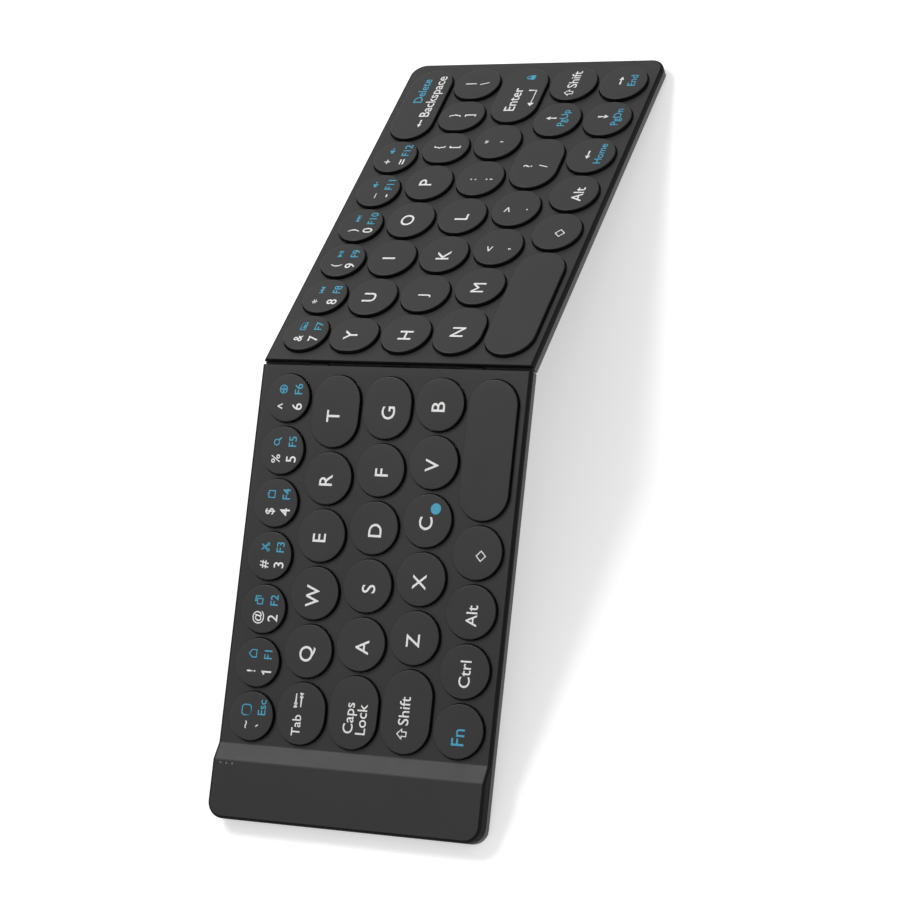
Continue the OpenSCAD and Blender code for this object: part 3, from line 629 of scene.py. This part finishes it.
# Marks on a key: (words, or "&" and a sign, x, y, height, ink, turn), from the key's
# centre. Single letters are also shifted by half and row.
LETTER, WORD, DIGIT, SMALL = 4.7, 3.8, 3.6, 2.8
LETTER_AT = {"left": [None, (-0.95, 0.3), (-0.95, -0.7), (-0.95, 0.5)],
             "right": [None, (-1.0, 0.2), (-1.1, -0.3), (-0.5, 0.9)]}
NUMBER_ROW = [("grave", "~", "`", "screen", "Esc"), ("1", "!", "1", "house", "F1"),
              ("2", "@", "2", "sheets", "F2"), ("3", "#", "3", "scissors", "F3"),
              ("4", "$", "4", "clipboard", "F4"), ("5", "%", "5", "lens", "F5"),
              ("6", "^", "6", "globe", "F6"), ("7", "&", "7", "panel", "F7"),
              ("8", "*", "8", "back", "F8"), ("9", "(", "9", "play", "F9"),
              ("0", ")", "0", "next", "F10"), ("minus", "_", "-", "quiet", "F11"),
              ("equals", "+", "=", "loud", "F12")]
marks = {name: [("&diamond", -1.0, -1.5, 3.6, "white")]
         for name in ("command_left", "command_right")}
for letter in "qwertyuiopasdfghjklzxcvbnm":
    marks[letter] = [(letter.upper(), -0.7 if letter in "tg" else 0, 0, LETTER, "white")]
marks["c"].append(("&dot", 3.9, -2.8, 4.1, "cyan"))
for name, upper, lower, sign, word in NUMBER_ROW:
    marks[name] = [(upper, -2.9, 1.9, 3.1, "white"), (lower, -2.9, -3.8, DIGIT, "white"),
                   ("&" + sign, 2.8, 1.8, 3.2, "cyan"), (word, 2.9, -3.8, SMALL, "cyan")]
marks["1"].append(("&flag_of_one", -2.9, -3.8, DIGIT, "white"))  # the font's 1 is bare
marks["grave"][2] = ("&screen", 1.9, 1.8, 4.2, "cyan")
PUNCTUATION = [("bracket_open", "{", "[", 0), ("bracket_close", "}", "]", 0),
               ("backslash", "|", "\\", 0), ("semicolon", ":", ";", -0.8),
               ("quote", '"', "'", -0.4), ("comma", "<", ",", -1.3),
               ("stop", ">", ".", -0.9), ("slash", "?", "/", -1.7)]
for name, upper, lower, dx in PUNCTUATION:
    marks[name] = [(upper, dx, 2.7, 3.2, "white"), (lower, dx, -3.1, 3.2, "white")]
marks.update({
    "fn": [("Fn", -1.9, -0.2, 4.3, "cyan")],
    "control": [("Ctrl", -0.8, -0.3, WORD, "white")],
    "alt_left": [("Alt", -1.2, -0.5, WORD, "white")],
    "alt_right": [("Alt", -0.9, -1.8, WORD, "white")],
    "tab": [("Tab", -3.8, 1.2, 3.1, "white"), ("&tab_arrows", 4.2, 1.2, 4.3, "white")],
    "caps": [("Caps", -1.8, 1.3, 3.5, "white"), ("Lock", -2.2, -3.3, 3.5, "white")],
    "shift_left": [("&shift_arrow", -7.0, 0.6, 3.6, "white"),
                   ("Shift", 0.2, 0.6, 3.6, "white")],
    "shift_right": [("&shift_arrow", -5.0, 0, 3.4, "white"),
                    ("Shift", 1.9, 0, 3.5, "white")],
    "enter": [("Enter", -2.7, 1.3, 3.9, "white"),
              ("&enter_arrow", -2.0, -5.1, 8.4, "white"),
              ("&lock", 9.2, -1.6, 3.8, "cyan")],
    "backspace": [("&arrow", -10.6, -3.3, 3.8, "white", 180),
                  ("Backspace", 3.8, -3.3, 3.7, "white"),
                  ("Delete", 6.9, 2.0, 3.3, "cyan")],
    "arrow_left": [("&arrow", 0, 0.9, 4.0, "white", 180),
                   ("Home", 0.5, -3.4, SMALL, "cyan")],
    "arrow_up": [("&arrow", 0.4, 2.2, 4.0, "white", 90),
                 ("PgUp", 0.3, -2.4, SMALL, "cyan")],
    "arrow_down": [("&arrow", 0.8, 1.6, 4.0, "white", -90),
                   ("PgDn", 0.5, -3.5, SMALL, "cyan")],
    "arrow_right": [("&arrow", 0.9, 0.9, 4.0, "white"),
                    ("End", 0.8, -3.4, SMALL, "cyan")],
})

for node, names in NODE_KEYS.items():
    printed = [name for name in names if name in marks]
    if not printed:
        continue
    bm = bmesh.new()
    for name in printed:
        half = half_of(name)
        x, y, _, _, row = keys[half][name]
        for word, dx, dy, height, ink, *turn in marks[name]:
            if len(word) == 1 and word.isalpha():
                shift_x, shift_y = LETTER_AT[half][row]
                dx, dy = dx + shift_x, dy + shift_y
            if word[0] == "&" and len(word) > 1:
                print_sign(bm, SIGNS[word[1:]], x + dx, y + dy, height, INKS[ink], *turn)
            else:
                print_text(bm, word, x + dx, y + dy, height, INKS[ink])
    film = piece(node + "_legends", bm, half_of(printed[0]), node,
                 [white_ink, cyan_ink])

# --- Bottom shells ----------------------------------------------------------------------
# Moulded ABS trays with the same eroded grain, screwed up into the covers from below.
# They are uncoated, so they shine a little more than the covers. They look lighter because their
# colour is painted lighter, as painted light on the side walls.
shell_abs_painted_light = moulded("abs_tray_painted_lighter", "#3a3a3c", rough=0.5, grain_mm=0.45,
                    grain_depth_mm=0.03)


def finish_node(node, material):
    """Gives a carried-over solid its material."""
    slots = frame["nodes"][node].data.materials
    slots.clear()
    slots.append(material)


for half in SIDES:
    finish_node(half + "_bottom_shell", shell_abs_painted_light)

# --- Feet -------------------------------------------------------------------------------
# Strips of moulded silicone rubber glued under each half. They are dull and dark, with a
# paler dusty bloom in patches and fine pits.
BLOOM_MM, PIT_MM = 6, 0.25
rubber, tree, bsdf = new_material("silicone_rubber_moulded", Roughness=0.8, IOR=1.43)
place = add_node(tree, "TexCoord").outputs["Object"]
bloom = add_node(tree, "TexNoise", {"Vector": place, "Scale": repeat(BLOOM_MM),
                                    "Detail": 5.0})
mix = add_node(tree, "Mix", {"Factor": bloom.outputs["Fac"], "A": linear("#141415"),
                             "B": linear("#29292b")}, data_type="RGBA")
tree.links.new(mix.outputs["Result"], bsdf.inputs["Base Color"])
pits = add_node(tree, "TexNoise", {"Vector": place, "Scale": repeat(PIT_MM),
                                   "Detail": 1.0})
bump = add_node(tree, "Bump", {"Height": pits.outputs["Fac"], "Strength": 0.4,
                               "Distance": 0.02 * MM})
tree.links.new(bump.outputs[0], bsdf.inputs["Normal"])
for half in SIDES:
    finish_node(half + "_feet", rubber)

# --- Hinge, screws and other metal ------------------------------------------------------
# Pressed steel leaves, screwed in each half, hold ground steel pins. The links between
# the pins, and the screws, are plated black. The socket is a drawn shell and the magnet a
# pressed block, both nickel-plated. Their fine lines are drawn coarse enough to show.
LINE_MM, LINE_STRETCH = 0.15, 18
LINE_DARK, LINE_BRIGHT, LINE_SHEEN = 0.8, 1.15, 0.08


def drawn_metal(name, colour, rough, along_y=True):
    """Metal with fine drawing lines in one direction, which spread its sheen unevenly."""
    mat, tree, bsdf = new_material(name, Metallic=1.0)
    place = add_node(tree, "TexCoord").outputs["Object"]
    scale = (1, 1 / LINE_STRETCH, 1) if along_y else (1 / LINE_STRETCH, 1, 1)
    lay = add_node(tree, "Mapping", {"Vector": place, "Scale": scale})
    lines = add_node(tree, "TexNoise", {"Vector": lay.outputs[0],
                                        "Scale": repeat(LINE_MM), "Detail": 3.0})
    mix = add_node(tree, "Mix", {"Factor": lines.outputs["Fac"],
                                 "A": shade(colour, LINE_DARK),
                                 "B": shade(colour, LINE_BRIGHT)}, data_type="RGBA")
    tree.links.new(mix.outputs["Result"], bsdf.inputs["Base Color"])
    sheen = add_node(tree, "MapRange", {"Value": lines.outputs["Fac"],
                                        "To Min": rough - LINE_SHEEN,
                                        "To Max": rough + LINE_SHEEN})
    tree.links.new(sheen.outputs[0], bsdf.inputs["Roughness"])
    bump = add_node(tree, "Bump", {"Height": lines.outputs["Fac"], "Strength": 0.15,
                                   "Distance": 0.005 * MM})
    tree.links.new(bump.outputs[0], bsdf.inputs["Normal"])
    return mat


# Steel is satin where pressed and bright where ground. The plating is dark and dull, so
# that nothing glints in the seam. Nickel is bright and a little warm.
pressed_steel = drawn_metal("steel_pressed_leaf", "#a9abae", 0.38)
ground_steel = drawn_metal("steel_ground_pin", "#c4c5c7", 0.22)
black_plate = drawn_metal("zinc_black_plated", "#131315", 0.5)
nickel = drawn_metal("nickel_plated_steel", "#c9c7c1", 0.25, along_y=False)
for half in SIDES:
    finish_node(half + "_hinge_leaf", pressed_steel)
    finish_node(half + "_hinge_pins", ground_steel)
    finish_node(half + "_screws", black_plate)
finish_node("hinge_links", black_plate)
finish_node("charging_socket", nickel)
finish_node("sensor_magnet", nickel)

# --- Indicator lamps --------------------------------------------------------------------
# Three short light guides of clear polycarbonate that rise from the board to the top of
# the raised end. Unlit, they are grey and slightly milky where light scatters in them.
MILK_MM = 0.5
guide_pc, tree, bsdf = new_material("polycarbonate_light_guide", Roughness=0.25, IOR=1.58,
                                    Transmission_Weight=0.35)
place = add_node(tree, "TexCoord").outputs["Object"]
milk = add_node(tree, "TexNoise", {"Vector": place, "Scale": repeat(MILK_MM),
                                   "Detail": 2.0})
mix = add_node(tree, "Mix", {"Factor": milk.outputs["Fac"], "A": linear("#565b5e"),
                             "B": linear("#73787b")}, data_type="RGBA")
tree.links.new(mix.outputs["Result"], bsdf.inputs["Base Color"])
finish_node("indicator_lamps", guide_pc)

# --- Sheets under the keys --------------------------------------------------------------
# Glass-filled nylon guide plates and printed polyester circuits, stacked loose in the
# trays with the dome sheets between them. The nylon is mid grey, dry and grainy.
nylon = moulded("nylon_glass_filled", "#6c6c70", rough=0.6, grain_mm=0.3,
                grain_depth_mm=0.01)

# Green film, smooth and glossy, with silver tracks
TRACK_MM, TRACK_FROM = 2.4, 0.8
WAVE_PERIOD = math.pi / 10  # of the wave pattern at scale 1
circuit, tree, bsdf = new_material("polyester_printed_circuit", Roughness=0.3, IOR=1.6)
place = add_node(tree, "TexCoord").outputs["Object"]
tracks = add_node(tree, "TexWave", {"Vector": place, "Distortion": 2.0,
                                    "Scale": repeat(TRACK_MM) * WAVE_PERIOD})
silver = add_node(tree, "Math", {0: tracks.outputs["Fac"], 1: TRACK_FROM},
                  operation="GREATER_THAN")
mix = add_node(tree, "Mix", {"Factor": silver.outputs[0], "A": linear("#4d6b58"),
                             "B": linear("#c2c6c4")}, data_type="RGBA")
tree.links.new(mix.outputs["Result"], bsdf.inputs["Base Color"])
for half in SIDES:
    finish_node(half + "_guide_plate", nylon)
    finish_node(half + "_circuit_sheet", circuit)

# --- Dome sheets ------------------------------------------------------------------------
# One moulded sheet of milky silicone rubber in each half, with a hollow dome under every
# key that collapses when the key goes down and pushes it back up. The rubber is off-white
# and satin. The sheet is one piece, and the domes under each body of keys are another.
SHEET_Z, SHEET_T, SHEET_U, SHEET_EDGE = -3.3, 0.25, 8.4, 1.4
SHEET_TOP = SHEET_Z + SHEET_T
DOME_R, DOME_H, DOME_LEFT = 1.9, 1.3, 0.1  # DOME_LEFT: share of its height when pressed
# (growth, z) from the foot up: each dome is drawn as a low cup, wider at the top
DOME_LEVELS = [(0, SHEET_TOP - 0.05), (0.1, SHEET_TOP + 0.15),
               (0.35, SHEET_TOP + DOME_H * 0.7), (0.45, SHEET_TOP + DOME_H * 0.9),
               (0.65, SHEET_TOP + DOME_H)]
silicone = moulded("silicone_milky_moulded", "#cfcec8", rough=0.45, grain_mm=0.5,
                   grain_depth_mm=0.01)


def closed_wall(bm, outline, levels):
    """Skin through one outline at each level, flat at both ends."""
    for ring in wall(bm, outline, levels):
        bm.faces.new(ring)


for half, side in SIDES.items():
    bm = bmesh.new()
    reach = HINGE_MARGIN + FIELD[half] + KEY_CLEAR
    corners = [(side * u, y) for u, y in
               ((SHEET_U, SHEET_EDGE), (reach, SHEET_EDGE), (reach, DEPTH - SHEET_EDGE),
                (SHEET_U, DEPTH - SHEET_EDGE))]
    closed_wall(bm, lambda grow: corners, [(0, SHEET_Z), (0, SHEET_TOP)])
    sheet = piece(half + "_dome_web", bm, half, half + "_half", [silicone])
    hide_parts(half + "_dome_sheet")

for joint in frame["joints"]:
    if joint["child"] not in NODE_KEYS:
        continue
    names = NODE_KEYS[joint["child"]]
    half = half_of(names[0])
    bm = bmesh.new()
    for name in names:
        x, y = keys[half][name][:2]
        closed_wall(bm, lambda grow: stadium(x, y, 2 * DOME_R, 2 * DOME_R, grow,
                                             steps=12), DOME_LEVELS)
    domes = piece(joint["child"] + "_domes", bm, half, half + "_half", [silicone],
                  crease_deg=60)
    x, y = keys[half][names[0]][:2]
    flat_to_tent(half) @ Vector((x, y, SHEET_TOP))
    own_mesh(domes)
    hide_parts(half + "_dome_sheet")

# --- Ribbon, battery and main board -----------------------------------------------------
# The ribbon through the seam is copper tracks under a black polyimide film: dark and
# satin, with the tracks as faint stripes. It is drawn as a straight strip, one piece in each
# half.
# The battery is a foil pouch cell, and the board beside it is lacquered green.
RIBBON_W, RIBBON_T, RIBBON_Z, RIBBON_REACH, RIBBON_STEPS = 10, 0.2, -2.8, 6.7, 24
BEND_FROM, BEND_TO = 4.8, 0.2  # from the seam
WIRE_MM = 1.0
polyimide, tree, bsdf = new_material("polyimide_black_ribbon", Roughness=0.45, IOR=1.7)
place = add_node(tree, "TexCoord").outputs["Object"]
wires = add_node(tree, "TexWave", {"Vector": place,
                                   "Scale": repeat(WIRE_MM) * WAVE_PERIOD},
                 bands_direction="Y")
mix = add_node(tree, "Mix", {"Factor": wires.outputs["Fac"], "A": linear("#0d0d0e"),
                             "B": linear("#1c1b1b")}, data_type="RGBA")
tree.links.new(mix.outputs["Result"], bsdf.inputs["Base Color"])
for half, side in SIDES.items():
    bm = bmesh.new()
    section = [(DEPTH / 2 + y, RIBBON_Z + z)
               for y, z in ((-RIBBON_W / 2, 0), (RIBBON_W / 2, 0),
                            (RIBBON_W / 2, RIBBON_T), (-RIBBON_W / 2, RIBBON_T))]
    loft(bm, [[(side * RIBBON_REACH * i / RIBBON_STEPS, y, z) for y, z in section]
              for i in range(RIBBON_STEPS + 1)])
    ribbon = piece(half + "_ribbon", bm, half, None, [polyimide])
    bend = [flat_to_tent(half) @ Vector((side * u, DEPTH / 2, RIBBON_Z))
            for u in (BEND_FROM, BEND_TO)]
    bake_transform(ribbon)
    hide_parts("hinge_ribbon")

# Aluminium laminate: bright, with soft creases where the pouch is drawn over the cell
CREASE_MM = 7
foil, tree, bsdf = new_material("aluminium_laminate_foil", Metallic=1.0, Roughness=0.35)
place = add_node(tree, "TexCoord").outputs["Object"]
creases = add_node(tree, "TexNoise", {"Vector": place, "Scale": repeat(CREASE_MM),
                                      "Detail": 4.0})
mix = add_node(tree, "Mix", {"Factor": creases.outputs["Fac"], "A": linear("#b9bbbd"),
                             "B": linear("#dddedf")}, data_type="RGBA")
tree.links.new(mix.outputs["Result"], bsdf.inputs["Base Color"])
bump = add_node(tree, "Bump", {"Height": creases.outputs["Fac"], "Strength": 0.5,
                               "Distance": 0.2 * MM})
tree.links.new(bump.outputs[0], bsdf.inputs["Normal"])
finish_node("battery", foil)

# Glass laminate under glossy lacquer: green, lighter over the copper than between it
COPPER_MM, COPPER_REACH = 1.6, 0.35
board, tree, bsdf = new_material("circuit_board_lacquer", Roughness=0.3, IOR=1.55)
place = add_node(tree, "TexCoord").outputs["Object"]
copper = add_node(tree, "TexVoronoi", {"Vector": place, "Scale": repeat(COPPER_MM)},
                  distance="CHEBYCHEV")
bare = add_node(tree, "Math", {0: copper.outputs["Distance"], 1: COPPER_REACH},
                operation="GREATER_THAN")
mix = add_node(tree, "Mix", {"Factor": bare.outputs[0], "A": linear("#1f6b3d"),
                             "B": linear("#17512f")}, data_type="RGBA")
tree.links.new(mix.outputs["Result"], bsdf.inputs["Base Color"])
finish_node("main_board", board)

# --- Floor, light and camera ------------------------------------------------------------
# A plain white table under a soft light from the far right and a larger, weaker one from
# the near side. The camera stands above the near left corner, as in the photograph.
FLOOR_M, FLOOR_LIFT, AMBIENT, SENSOR_MM = 6.0, 0.45, 0.39, 36
floor_mesh = bpy.data.meshes.new("floor")
floor_corners = [(-FLOOR_M, -FLOOR_M, 0), (FLOOR_M, -FLOOR_M, 0), (FLOOR_M, FLOOR_M, 0),
                 (-FLOOR_M, FLOOR_M, 0)]
floor_mesh.from_pydata(floor_corners, [], [(0, 1, 2, 3)])
floor = new_object("floor", floor_mesh)

# Matt white lacquer that keeps the shadow. It glows faintly for rays that see it as the
# background, so it turns as white as the sky without more light on the keyboard.
table_top, tree, bsdf = new_material("floor_white_matt", Roughness=0.9,
                                     Specular_IOR_Level=0)
bsdf.inputs["Base Color"].default_value = linear("#f2f2f2")
floor_mesh.materials.append(table_top)


def backdrop_rays(tree):
    """1 for rays that see the background: from the camera, off gloss or through glass."""
    rays = add_node(tree, "LightPath")
    seen = add_node(tree, "Math", {0: rays.outputs["Is Camera Ray"],
                                   1: rays.outputs["Is Glossy Ray"]}, operation="MAXIMUM")
    seen = add_node(tree, "Math", {0: seen.outputs[0],
                                   1: rays.outputs["Is Transmission Ray"]},
                    operation="MAXIMUM")
    return seen.outputs[0]


lift = add_node(tree, "Math", {0: backdrop_rays(tree), 1: FLOOR_LIFT},
                operation="MULTIPLY")
bsdf.inputs["Emission Color"].default_value = linear("#ffffff")
tree.links.new(lift.outputs[0], bsdf.inputs["Emission Strength"])

world = bpy.data.worlds.new("studio")
bpy.context.scene.world = world
world.use_nodes = True
tree = world.node_tree
level = add_node(tree, "MapRange", {"Value": backdrop_rays(tree), "To Min": AMBIENT,
                                    "To Max": 1.0})
sky = tree.nodes["Background"]
sky.inputs["Color"].default_value = linear("#ffffff")
tree.links.new(level.outputs[0], sky.inputs["Strength"])


def softbox(name, place, target, size, watts):
    """A square soft light in metres that faces the target."""
    light = bpy.data.lights.new(name, "AREA")
    light.size, light.energy = size, watts
    obj = new_object(name, light)
    obj.location = place
    facing = (Vector(target) - Vector(place)).to_track_quat("-Z", "Y")
    obj.rotation_euler = facing.to_euler()


KEYBOARD_MIDDLE = (0, 0, 0.02)
softbox("key_softbox", (0.35, 0.5, 0.92), KEYBOARD_MIDDLE, 0.35, 5.6)
softbox("top_softbox", (-0.3, -0.9, 1.5), KEYBOARD_MIDDLE, 1.2, 3.9)

# Place, azimuth, elevation, roll and lens that lay the seam, the edges and the key rows
# where the photograph has them
CAMERA_MM = (-393.8, -444.7, 810.4)
CAMERA_AZ, CAMERA_EL, CAMERA_ROLL, CAMERA_LENS = 41.128, 54.019, -40.554, 119.407
camera = bpy.data.cameras.new("camera")
camera.lens, camera.sensor_width = CAMERA_LENS, SENSOR_MM
viewer = new_object("camera", camera)
viewer.location = Vector(CAMERA_MM) * MM
viewer.rotation_euler = (Matrix.Rotation(math.radians(-CAMERA_AZ), 3, "Z")
                         @ Matrix.Rotation(math.radians(90 - CAMERA_EL), 3, "X")
                         @ Matrix.Rotation(math.radians(CAMERA_ROLL), 3, "Z")).to_euler()
bpy.context.scene.camera = viewer
bpy.context.scene.view_settings.view_transform = "Standard"
